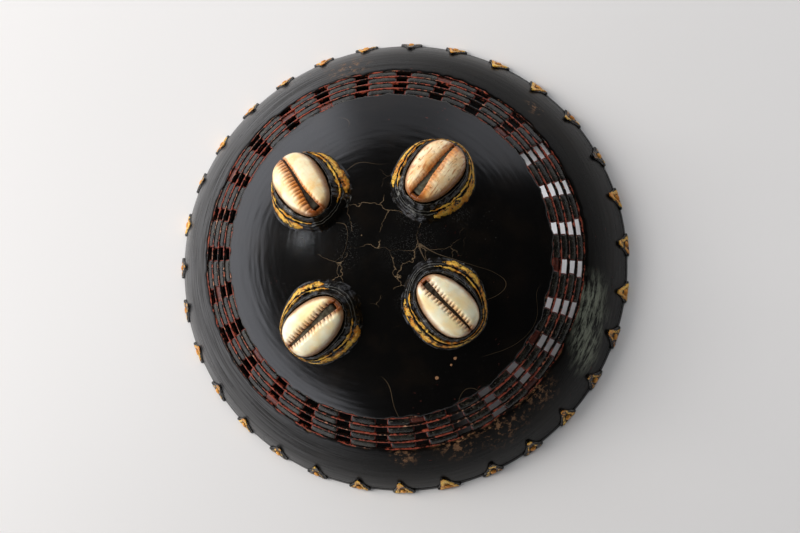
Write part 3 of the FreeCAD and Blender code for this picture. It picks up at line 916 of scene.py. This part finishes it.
def petalGiltRise(points):  # a rib up each side, a full tip, a ledge at the foot and a ring for the button
    u, v = np.abs(points[:, 0]), points[:, 1]
    top = petalLook["height"] - petalLook["margin"]
    halfHere = np.maximum((petalLook["width"] / 2 - 1.2 * petalLook["margin"]) * (1.04 - v / top), 0.1 * mm)
    ridge = smooth(0.28, 0.62, u / halfHere) * (1 - smooth(0.9, 1.02, u / halfHere))
    apex = smooth(top - 3.4 * mm, top - 2.2 * mm, v)
    ledge = 0.7 * (1 - smooth(0.5 * mm, 1.1 * mm, v))
    fromButton = np.hypot(points[:, 0], v - petalLook["buttonUp"])
    arch = smooth(petalLook["button"] + 0.05 * mm, petalLook["button"] + 0.5 * mm, fromButton)
    body = np.maximum(np.maximum(ridge, apex), ledge) * arch
    return petalLook["plate"] + petalLook["relief"] * (0.12 + 0.88 * body)


def petalTree():
    board = GrowthBoard("petalGrowth", {
        "Form": bpy.types.Object, "Count": int, "Phase": float, "Drift": float, "Drift azimuth": float,
        "Foot": float, "Lean": float, "Sway": float, "Seed": int, "Finish": bpy.types.Material,
    }, lowerArc, lowerMiddle)
    source, count, foot, lean, sway, seed = board.given("Form", "Count", "Foot", "Lean", "Sway", "Seed")
    form = board.node("GeometryNodeObjectInfo", {}, {"Object": source}, "Geometry")
    azimuth = board.azimuthOf(board.node("GeometryNodeInputIndex"))
    points = board.keep(board.points(count), "lean", board.random(-1.0, 1.0, seed) * lean)
    points = board.keep(points, "worn", board.random(0.0, 1.0, seed + 4.0))
    points = board.move(points, board.join(azimuth * rimRadius, 0.0, 0.0))
    scale = board.join(board.random(0.9, 1.02, seed + 1.0), board.random(0.9, 1.04, seed + 2.0), 1.0)
    grown = board.realize(board.plant(points, form, scale))
    x, y, z = board.position()
    leaned = board.join((x + y * board.recall("lean")) / rimRadius, foot - y / lowerArc, z)
    laid = board.lay(board.move(grown, leaned), sway, sway * 0.5, petalLook["grain"], seed)
    return board.finish(laid)


def buttonRise(points):
    away = np.hypot(*(points - buttonMiddle).T) / petalLook["button"]
    return petalLook["plate"] + petalLook["buttonStand"] * np.sqrt(np.clip(1.02 - away ** 3, 0.02, 1))


print("petals")
halfWidth, top, margin = petalLook["width"] / 2, petalLook["height"], petalLook["margin"]
(waist, waistUp), (giltWaist, giltWaistUp) = petalLook["waist"], petalLook["giltWaist"]
plateHalf = [
    (halfWidth, 0), (halfWidth, petalLook["shoulder"]),
    (halfWidth * waist, waistUp), (petalLook["tip"], top),
]
giltWidth = halfWidth - margin
giltHalf = [
    (giltWidth, 0.5 * margin), (giltWidth * giltWaist, giltWaistUp),
    (petalLook["giltTip"], top - 0.5 * margin),
]
turn = np.linspace(0, fullTurn, 28, endpoint=False)
buttonRing = np.stack([np.cos(turn), np.sin(turn)], axis=-1)
buttonMiddle = np.array([0.0, petalLook["buttonUp"]])
petalForms = {
    "petalPlates": {
        "outline": evenRound(plateHalf, 84), "middle": (0.0, 2.6 * mm), "rise": petalPlateRise,
        "bottom": -0.1 * mm, "rings": 16, "finish": mouldedFinish, "slot": "moulded_lacquer",
        "node": "petal_plates",
    },
    "petalGilding": {
        "outline": evenRound(giltHalf, 96), "middle": (0.0, 2.9 * mm), "rise": petalGiltRise,
        "bottom": 0.25 * mm, "rings": 20, "finish": petalGold, "slot": "gold_leaf",
        "node": "petal_gilding",
    },
    "petalButtons": {
        "outline": buttonMiddle + petalLook["button"] * buttonRing, "middle": buttonMiddle,
        "rise": buttonRise, "bottom": 0.3 * mm, "rings": 8, "finish": buttonFinish, "slot": "gold_leaf",
        "node": "petal_buttons",
    },
}
petalGrowth = petalTree()
for name, look in petalForms.items():
    form = reliefForm(name + "Form", look)
    petals = growPiece(name, petalGrowth, {
        "Form": form, "Count": petalLook["count"], "Phase": math.radians(petalLook["phase"]),
        "Drift": math.radians(petalLook["drift"]), "Drift azimuth": math.radians(petalLook["driftAzimuth"]),
        "Foot": math.radians(petalLook["footSlope"]), "Lean": petalLook["lean"], "Sway": petalLook["sway"],
        "Seed": petalLook["seed"], "Finish": look["finish"],
    })
    bpy.data.objects.remove(form)
    fitPiece(petals, look["slot"], look["node"])


# Each foot is a putty cup with a collar, two gilded bands and a cowrie. Lengths are in millimetres.
feet = {
    "radii": [30.1, 26.8, 29.6, 25.6],  # out from the axis
    "azimuths": [141.1, 54.3, -131.5, -41.3],
    "yaws": [129.3, 53.3, -141.3, -46.5],
    "lengths": [23.6, 21.8, 22.0, 21.7],
    "widths": [15.6, 15.4, 15.2, 14.8],
    "oval": (14.3, 13.0),  # half length and half width of the cup at its foot
    "centreHeight": 4.9,
    "halfThick": 4.6,
    "roundness": 2.3,  # 2 would make the shell's outline an ellipse
    "taper": 0.12,
    "taperScale": 1.03,
    "planRoundness": 0.87,
    "slotDepth": 2.7,
    "slotEnd": 0.9,  # depth of the slot where it runs out
    "lipSink": 0.75,  # the shell dips this much towards its gap
    "lipSinkReach": 2.2,
    "toothPitch": 1.3,
    "toothDepth": 0.42,
    "wobble": (0.16, 0.06),  # slow and quick unevenness of the putty
    "lumps": (0.34, -0.14, 0.08),
    "crests": (0.14, 0.48, 0.63),  # where the putty is rubbed, as shares of the way out
    "crestReach": 0.08,
    "broadBand": (0.585, 0.93),
    "broadOpening": [96, 84, 92, 88],  # degrees left open towards the bowl's middle
    "thinBand": (0.425, 0.54),
    "thinOpening": [60, 76, 70, 64],
    "ragged": (0.034, 0.022),  # how far the bands' inner and outer edges stray, as shares
    "leafWear": [0.35, 0.3, 0.4, 0.75],  # how far the leaf has gone from the bands' inner halves
    "cupShares": np.linspace(1.06, 0.28, 64),
    "cupUnderside": [(0.25, 2.4), (0.25, -0.6), (1.0, -0.6)],  # share of the way out, height
    "collarShares": np.linspace(0.32, -0.08, 36),
    "collarUnderside": [(-0.08, 2.5), (0.3, 2.5)],
}
# Cup section from the bowl's surface up to the shell: share of the way out, height.
cupSection = [
    (1.06, -0.15), (1.01, 0.05), (0.95, 0.22), (0.89, 0.7), (0.84, 1.2), (0.79, 1.62), (0.75, 1.78),
    (0.70, 2.2), (0.66, 2.5), (0.62, 2.62), (0.585, 2.55), (0.555, 2.5), (0.525, 2.85), (0.49, 3.08),
    (0.46, 3.05), (0.425, 2.85), (0.38, 3.1), (0.33, 3.55), (0.26, 4.15), (0.20, 4.5), (0.14, 4.62),
    (0.09, 4.5), (0.04, 4.1), (-0.01, 3.6), (-0.08, 3.1),
]


def footFrame(index):  # the middle of a foot on the bowl, and its forward, sideways and outward directions
    slope = math.asin((feet["radii"][index] * mm - flankMiddle[0]) / flankArc)
    azimuth, yaw = math.radians(feet["azimuths"][index]), math.radians(feet["yaws"][index])
    centre = onBowl(np.array(azimuth), np.array(slope), 0.0)
    level = math.sin(slope)
    normal = np.array([level * math.cos(azimuth), level * math.sin(azimuth), math.cos(slope)])
    heading = np.array([math.cos(yaw), math.sin(yaw), 0.0])
    forward = heading - normal * heading.dot(normal)
    forward /= np.linalg.norm(forward)
    return centre, np.stack([forward, np.cross(normal, forward), normal])


def seated(points, index):  # millimetres in the foot's own frame, to metres in the bowl's
    centre, axes = footFrame(index)
    return centre + np.asarray(points) * mm @ axes


def surfaceUnder(x, y, index):  # height of the bowl's surface in the foot's frame
    z = np.zeros_like(x)
    for _ in range(6):
        z = z - liftOf(seated(np.stack([x, y, z], axis=-1), index)) / mm
    return z


def shellEnvelope(share):  # half width of the shell at a share of its half length
    power = feet["roundness"]
    body = (1 - np.clip(np.abs(share), 0, 0.9999) ** power) ** (1 / power)
    return body * (1 + feet["taper"] * share) / feet["taperScale"]


def planOf(angle, share, index):  # between the shell's outline, share 0, and the cup's foot, share 1
    along, across = np.cos(angle), np.sin(angle)
    shellAlong = np.sign(along) * np.abs(along) ** feet["planRoundness"]
    shellAcross = np.sign(across) * np.abs(across) ** feet["planRoundness"]
    fullness = (1 + feet["taper"] * shellAlong) / feet["taperScale"]
    shellX = feet["lengths"][index] / 2 * shellAlong
    shellY = feet["widths"][index] / 2 * shellAcross * fullness
    swell = 1 + 0.03 * np.sin(2 * angle + index) + 0.02 * np.sin(5 * angle + 2 * index)
    ovalX, ovalY = feet["oval"][0] * along * swell, feet["oval"][1] * across * swell
    return shellX + (ovalX - shellX) * share, shellY + (ovalY - shellY) * share


def cupPoints(angle, share, index, proud=0.0):  # in the foot's frame, following the cup section
    shares, heights = np.array(cupSection[::-1]).T
    x, y = planOf(angle, share, index)
    ground = surfaceUnder(x, y, index)
    here = np.stack([x, y, 0 * x], axis=-1)
    (slow, quick), (lump, sink, grain) = feet["wobble"], feet["lumps"]
    wobble = slow * ripple(here, 6.0, 31 + index) + quick * ripple(here, 2.2, 41 + index)
    inward = smooth(0.2, -0.75, np.cos(angle))  # lumpier on the side of the bowl's middle
    lumps = inward * (lump * ripple(here, 3.2, 51 + index) + sink) + grain * ripple(here, 1.5, 55 + index)
    amount = smooth(1.06, 0.9, share)
    height = np.interp(share, shares, heights) + (wobble + lumps) * amount + proud
    return np.stack([x, y, height + ground * smooth(0.25, 0.8, share)], axis=-1)


def ringMesh(name, index, shares, undersides, material):  # putty laid round the shell
    angle = np.linspace(0, fullTurn, 240, endpoint=False)
    rows, marks = [], []
    for share in shares:
        rows.append(cupPoints(angle, np.full_like(angle, share), index))
        offCrest = min(abs(share - crest) for crest in feet["crests"])
        marks.append(np.full_like(angle, 1 - offCrest / feet["crestReach"]).clip(0, 1))
    for share, height in undersides:
        x, y = planOf(angle, np.full_like(angle, share), index)
        low = surfaceUnder(x, y, index) + height if height < 0 else np.full_like(x, height)
        rows.append(np.stack([x, y, low], axis=-1))
        marks.append(np.zeros_like(angle))
    return meshFromRows(name, seated(rows, index), material, closeRows=True, marks={"ridge": marks})


def bandStrip(index, low, high, opening, seed):  # ragged gilded strip laid on the cup
    reach = math.pi - math.radians(opening) / 2
    angle = np.linspace(-reach, reach, 260)[:, None]
    circle = np.stack([8 * np.cos(angle), 8 * np.sin(angle), 0 * angle], axis=-1)
    ragged = ripple(circle, 3.2, seed) + 0.8 * ripple(circle, 1.1, seed + 1)
    raggedToo = ripple(circle, 3.6, seed + 2) + 0.8 * ripple(circle, 1.2, seed + 3)
    tail = smooth(1.0, 0.93, np.abs(angle) / reach)
    fullness = (0.3 + 0.7 * tail) * (1 + 0.16 * ripple(circle, 6.0, seed + 4))
    middle, half = (low + high) / 2, (high - low) / 2 * fullness
    innerEdge = middle - half - feet["ragged"][0] * ragged * tail
    outerEdge = middle + half + feet["ragged"][1] * raggedToo * tail
    across = np.linspace(0, 1, 15)
    share = innerEdge + (outerEdge - innerEdge) * across
    belly = 1 - np.abs(2 * across - 1) ** 4
    isBroad = high - low > 0.15
    ribs = 0.09 * np.sin(across * fullTurn * 2.0) if isBroad else 0
    top = cupPoints(angle + 0 * share, share, index, 0.03 + 0.12 * belly + ribs)
    under = cupPoints(angle + 0 * share, share, index, -0.12)[:, ::-1]
    worn = (1 - across) * feet["leafWear"][index] * smooth(0.2, 0.45, high - low)

    def onTop(values):
        return np.concatenate([np.broadcast_to(values, share.shape), np.zeros_like(share)], axis=1)

    return np.concatenate([top, under], axis=1), {"ridge": onTop(belly), "worn": onTop(worn)}


def bandPiece(name, index, material):
    strips = [
        bandStrip(index, *feet["broadBand"], feet["broadOpening"][index], 61 + index * 5),
        bandStrip(index, *feet["thinBand"], feet["thinOpening"][index], 91 + index * 5),
    ]
    made = []
    for number, (rows, marks) in enumerate(strips):
        rows = seated(rows, index)
        poles = (rows[0].mean(axis=0), rows[-1].mean(axis=0))
        made.append(meshFromRows("%s%d" % (name, number), rows, material, poles=poles, marks=marks))
    with bpy.context.temp_override(active_object=made[0], selected_editable_objects=made):
        bpy.ops.object.join()
    made[0].name = name
    tidyFaces(made[0].data)
    return made[0]


# What sets one shell apart from the next: its two tones, its putty's tones (dark on the first and fourth
# shells, as painted shade in the gap), lip reaches in millimetres each side of the gap, the gap's half
# width at its narrow, middle and broad end, its bend, and its wear.
shellLooks = [
    {
        "tones": (ink(255, 240, 200), ink(246, 204, 134)), "fill": (ink(30, 24, 18), ink(70, 64, 54)),
        "lips": (3.9, 1.4), "gap": (1.15, 0.5, 0.34), "bend": -0.7, "rib": (0.9, 0.7),
        "warmth": 1.0, "teeth": 0.85, "stain": 1.0, "pits": 0.15,
    },
    {
        "tones": (ink(255, 232, 188), ink(238, 184, 118)), "fill": (ink(60, 58, 46), ink(104, 102, 86)),
        "lips": (2.2, 2.8), "gap": (1.25, 0.68, 0.42), "bend": 0.2, "rib": (0.35, 0.6),
        "warmth": 0.95, "teeth": 0.6, "stain": 0.6, "pits": 1.3,
    },
    {
        "tones": (ink(255, 246, 212), ink(254, 224, 164)), "fill": (ink(58, 52, 40), ink(100, 94, 78)),
        "lips": (2.1, 2.2), "gap": (1.2, 0.7, 0.42), "bend": 0.3, "rib": (0.9, 0.9),
        "warmth": 0.6, "teeth": 1.0, "stain": 0.9, "pits": 0.0,
    },
    {
        "tones": (ink(255, 248, 216), ink(254, 228, 172)), "fill": (ink(28, 22, 16), ink(64, 56, 44)),
        "lips": (1.8, 1.9), "gap": (0.95, 0.55, 0.36), "bend": 0.25, "rib": (0.8, 0.8),
        "warmth": 0.5, "teeth": 1.0, "stain": 0.8, "pits": 0.1,
    },
]


def gapMiddle(share, look):  # how far the gap bends off the shell's middle line
    return look["bend"] * (np.sin(share * 2.2) * 0.7 - 0.25 * share ** 2)


def gapHalf(share, look):
    wide, mid, fine = look["gap"]
    return mid + (wide - mid) * smooth(-0.15, -0.75, share) + (fine - mid) * smooth(0.1, 0.8, share)


def shellTop(share, y, index):  # height of the smooth shell over its own middle
    half = feet["widths"][index] / 2 * shellEnvelope(share)
    swell = np.clip(np.abs(y) / np.maximum(half, 1e-6), 0, 1)
    return feet["halfThick"] * shellEnvelope(share) ** 0.85 * (1 - swell ** 2.4) ** (1 / 2.4)


def cowriePiece(name, index, material):
    look = shellLooks[index]
    share = np.sin(np.linspace(-1, 1, 190) * math.radians(87.5))[:, None]
    along = share * feet["lengths"][index] / 2
    half = feet["widths"][index] / 2 * shellEnvelope(share)
    middle = gapMiddle(share, look) * smooth(1.0, 0.8, np.abs(share))
    pull = np.linspace(-1, 1, 79)
    y = middle + (half * np.sign(pull) - middle) * np.abs(pull) ** 1.55
    top = shellTop(share, y, index)
    gap = gapHalf(share, look)
    away = np.abs(y - middle) - gap
    side = np.where(y > middle, 0, 1)
    lipReach = np.array(look["lips"])[side]
    ribAmount = np.array(look["rib"])[side]
    body = smooth(0.97, 0.82, np.abs(share))
    top = top - feet["lipSink"] * np.clip(1 - away / feet["lipSinkReach"], 0, 1) ** 2 * body
    phase = along / feet["toothPitch"] + np.where(side == 0, 0.0, 0.5) + 0.12 * np.sin(along * 1.9)
    tooth = (0.5 + 0.5 * np.cos(fullTurn * phase)) ** 1.4
    reach = smooth(lipReach, lipReach * 0.35, away) * smooth(0.9, 0.78, np.abs(share))
    top = top - feet["toothDepth"] * ribAmount * tooth * reach
    slotOpen = smooth(0.93, 0.80, np.abs(share))
    depth = feet["slotDepth"] * slotOpen + feet["slotEnd"] * smooth(0.80, 0.93, np.abs(share))
    inside = smooth(0.12, -0.28, away + 0.16 * tooth * reach)
    top = top - depth * inside
    turn = np.linspace(0, math.pi, 28)[1:-1]
    underY = half * np.cos(turn)
    under = -feet["halfThick"] * 0.9 * shellEnvelope(share) ** 0.85 * np.sin(turn)
    yAll = np.concatenate([y, underY], axis=1)
    zAll = np.concatenate([top, under], axis=1) + feet["centreHeight"]
    points = np.stack([np.broadcast_to(along, yAll.shape), yAll, zAll], axis=-1)
    points += 0.05 * ripple(points, 5.0, 70 + index)[..., None] * np.array([0.0, 0.4, 1.0])
    shape = yAll.shape

    def spread(values, fill):
        return np.concatenate([np.broadcast_to(values, y.shape), np.full(underY.shape, fill)], axis=1)

    marks = {
        "lip": spread(np.clip(away / lipReach, 0, 1), 1.0),
        "tooth": spread(tooth * ribAmount, 0.0),
        "deep": spread(inside, 0.0),
        "along": np.broadcast_to(share, shape),
        "across": yAll / (feet["widths"][index] / 2),
        "edge": spread(np.maximum(np.abs(y) / half, np.abs(share)), 1.0),
    }
    rows = seated(points, index)
    poles = (rows[0].mean(axis=0), rows[-1].mean(axis=0))
    return meshFromRows(name, rows, material, poles=poles, marks=marks)


def puttyPiece(name, index, material):
    look = shellLooks[index]
    share = np.linspace(-0.84, 0.86, 90)[:, None]
    along = share * feet["lengths"][index] / 2
    middle = gapMiddle(share, look) * smooth(1.0, 0.8, np.abs(share))
    half = gapHalf(share, look) + 0.35
    ring = np.linspace(0, fullTurn, 20, endpoint=False)
    y = middle + half * np.cos(ring)
    level = shellTop(share, middle, index) - 2 * feet["lipSink"]
    z = level + 0.7 * (np.sin(ring) - 1) + feet["centreHeight"] + 0 * y
    points = np.stack([np.broadcast_to(along, y.shape), y, z], axis=-1)
    points[..., 2] += 0.12 * ripple(points, 1.6, 80 + index) + 0.08 * ripple(points, 0.7, 90 + index)
    rows = seated(points, index)
    poles = (rows[0].mean(axis=0), rows[-1].mean(axis=0))
    return meshFromRows(name, rows, material, poles=poles)


print("feet")
for index, look in enumerate(shellLooks):
    number = index + 1
    cupRows, collarRows = feet["cupShares"], feet["collarShares"]
    cup = ringMesh("footCup%d" % number, index, cupRows, feet["cupUnderside"], mouldedFinish)
    fitPiece(cup, "moulded_lacquer", "foot_cup_%d" % number)
    collar = ringMesh("footCollar%d" % number, index, collarRows, feet["collarUnderside"], mouldedFinish)
    fitPiece(collar, "moulded_lacquer", "foot_collar_%d" % number)
    fitPiece(bandPiece("giltBands%d" % number, index, bandGold), "gold_leaf", "gilt_horseshoe_%d" % number)
    shell = cowriePiece("cowrie%d" % number, index, cowrieShell("cowrieShell%d" % number, look))
    fitPiece(shell, "cowrie_shell", "cowrie_%d" % number)
    putty = puttyPiece("cowriePutty%d" % number, index, slotPutty("slotPutty%d" % number, look["fill"]))
    fitPiece(putty, "grey_putty", "cowrie_putty_%d" % number)


stage = {
    "floorLow": (-1.6, -1.3),
    "floorHigh": (0.42, 1.5),
    "floorPoints": 24,
    "floorDrop": 0.02 * mm,  # just under the rim, so that the two never share a plane
    "paper": ink(236, 234, 232),
    "paperShade": ink(226, 224, 222),
    "shade": ink(16, 13, 12),  # painted shade: the floor under the bowl, out of the light
    "lightSide": (-12, 44, 62),  # degrees: the lit side's middle, and how far off it the light fails
    "bandStrength": 2.1,
    "ceiling": 0.03,
    "tilt": 10.2,  # degrees from straight down
    "turn": -40.14,
    "distance": 6.5,  # rim radii
    "lens": 65.42,
    "shift": (-0.00173, -0.00199),
}


def floorMaterial():  # pale paper, with shade painted dark under the bowl except on its light side
    material, board, place = newMaterial("paperFloor")
    cloud = board.noise(place, 2.2, 2.0, 0.5)
    fibre = board.noise(place, 900.0, 3.0, 0.6)
    colour = board.dye(cloud.ramp(0.35, 0.65) * 0.5 + fibre * 0.1, stage["paper"], stage["paperShade"])
    x, y, _ = board.split(place)
    middle, near, far = (math.radians(angle) for angle in stage["lightSide"])
    lit = (y.arcTangent(x) - middle).size().ramp(far, near)
    # painted shade: the paper darkened under the bowl, except on its light side
    under = fromAxis(board, place).ramp(73 * mm, 71 * mm) * (1 - lit)
    colour = board.dye(under * 0.96, colour, stage["shade"])
    dress(board, colour, 0.85 + fibre * 0.1, fibre, 0.1, 0.05 * mm, {"Specular IOR Level": 0.1})
    return material


def addFloor():
    (lowX, lowY), (highX, highY) = stage["floorLow"], stage["floorHigh"]
    count = stage["floorPoints"]
    x, y = np.meshgrid(np.linspace(lowX, highX, count), np.linspace(lowY, highY, count))
    points = np.stack([x, y, 0 * x - stage["floorDrop"]], axis=-1).reshape(-1, 3)
    faces = []
    for row in range(count - 1):
        for column in range(count - 1):
            first = row * count + column
            faces.append((first, first + 1, first + count + 1, first + count))
    mesh = bpy.data.meshes.new("floor")
    mesh.from_pydata(points.tolist(), [], faces)
    mesh.materials.append(floorMaterial())
    floor = bpy.data.objects.new("floor", mesh)
    bpy.context.scene.collection.objects.link(floor)
    return floor


# A lamp with a receiver lights nothing else.
def addLamp(name, spot, aim, size, power, colour, glossy=False, receiver=None):
    data = bpy.data.lights.new(name, "AREA")
    data.shape = "RECTANGLE"
    data.size, data.size_y = size
    data.energy = power
    data.color = colour
    lamp = bpy.data.objects.new(name, data)
    bpy.context.scene.collection.objects.link(lamp)
    lamp.location = spot
    lamp.rotation_euler = (Vector(aim) - Vector(spot)).to_track_quat("-Z", "Y").to_euler()
    lamp.visible_glossy = glossy
    if receiver is not None:
        group = bpy.data.collections.new(name + "Receivers")
        group.objects.link(receiver)
        lamp.light_linking.receiver_collection = group
    return lamp


def around(azimuth, elevation, distance):  # a place round the bowl, in degrees and metres
    azimuth, elevation = math.radians(azimuth), math.radians(elevation)
    level = distance * math.cos(elevation)
    return (level * math.cos(azimuth), level * math.sin(azimuth), distance * math.sin(elevation))


def lightWorld():  # a dim room with a bright band low down, open to the back and the left
    world = bpy.data.worlds.new("studio")
    bpy.context.scene.world = world
    world.use_nodes = True
    world.node_tree.nodes.clear()
    board = Board(world.node_tree)
    direction = board.node("ShaderNodeTexCoord", {}, {}, "Generated")
    x, y, z = board.split(direction)
    elevation = z.arcSine() * (180 / math.pi)
    ragged = (board.noise(direction, 6.0, 5.0, 0.7) - 0.5) * 14.0
    azimuth = y.arcTangent(x) * (180 / math.pi)
    toBack = (azimuth - 95.0).size().ramp(68.0, 40.0)
    toFront = (azimuth + 140.0).size().ramp(48.0, 22.0)
    toLeft = (azimuth.size() - 180.0).size().ramp(75.0, 35.0)
    ceiling = toBack * 34.0 + toFront * 22.0
    ceiling = ceiling.most(toLeft * 24.0)
    level = elevation + ragged
    lit = (ceiling - level).ramp(-2.0, 4.0) * ceiling.ramp(2.0, 12.0) * elevation.ramp(-6.0, 1.0)
    colour = board.dye(lit, ink(200, 202, 206), ink(244, 246, 255))
    leftBright = (azimuth.size() - 180.0).size().ramp(74.0, 58.0) * 0.85
    backBright = (azimuth - 58.0).size().ramp(26.0, 8.0) * 0.25
    strength = lit * (leftBright + backBright + 0.28) * stage["bandStrength"] + stage["ceiling"]
    shader = board.node("ShaderNodeBackground", {}, {"Color": colour, "Strength": strength})
    board.node("ShaderNodeOutputWorld", {}, {"Surface": shader})


def addCamera():
    tilt, turn = math.radians(stage["tilt"]), math.radians(stage["turn"])
    back = Vector((math.sin(tilt) * math.cos(turn), math.sin(tilt) * math.sin(turn), math.cos(tilt)))
    right = Vector((0, 1, 0)).cross(back).normalized()
    up = back.cross(right)
    data = bpy.data.cameras.new("camera")
    data.sensor_width, data.lens = 36, stage["lens"]
    data.shift_x, data.shift_y = stage["shift"]
    data.clip_start, data.clip_end = 0.01, 20
    camera = bpy.data.objects.new("camera", data)
    bpy.context.scene.collection.objects.link(camera)
    placed = Matrix((right, up, back)).transposed().to_4x4()
    placed.translation = back * stage["distance"] * rimRadius
    camera.matrix_world = placed
    bpy.context.scene.camera = camera


print("stage")
floor = addFloor()
lightWorld()
addLamp("keyLamp", around(168, 42, 0.9), (0, 0, 0), (0.5, 0.5), 7.0, (1.0, 0.98, 0.96))
addLamp("fillLamp", around(60, 70, 1.1), (0, 0, 0), (0.7, 0.7), 3.0, (0.95, 0.97, 1.0))
addLamp("windowLamp", around(163, 46, 0.8), (0, 0, 0.03), (0.03, 0.05), 0.12, (0.9, 0.95, 1.0), glossy=True)
underSpot, underAim = (0.045, 0.01, 0.026), (0.05, 0.0, 0.0)
addLamp("underLamp", underSpot, underAim, (0.02, 0.05), 0.010, (0.94, 0.95, 1.0), receiver=floor)
addCamera()
bpy.context.scene.view_settings.view_transform = "Standard"
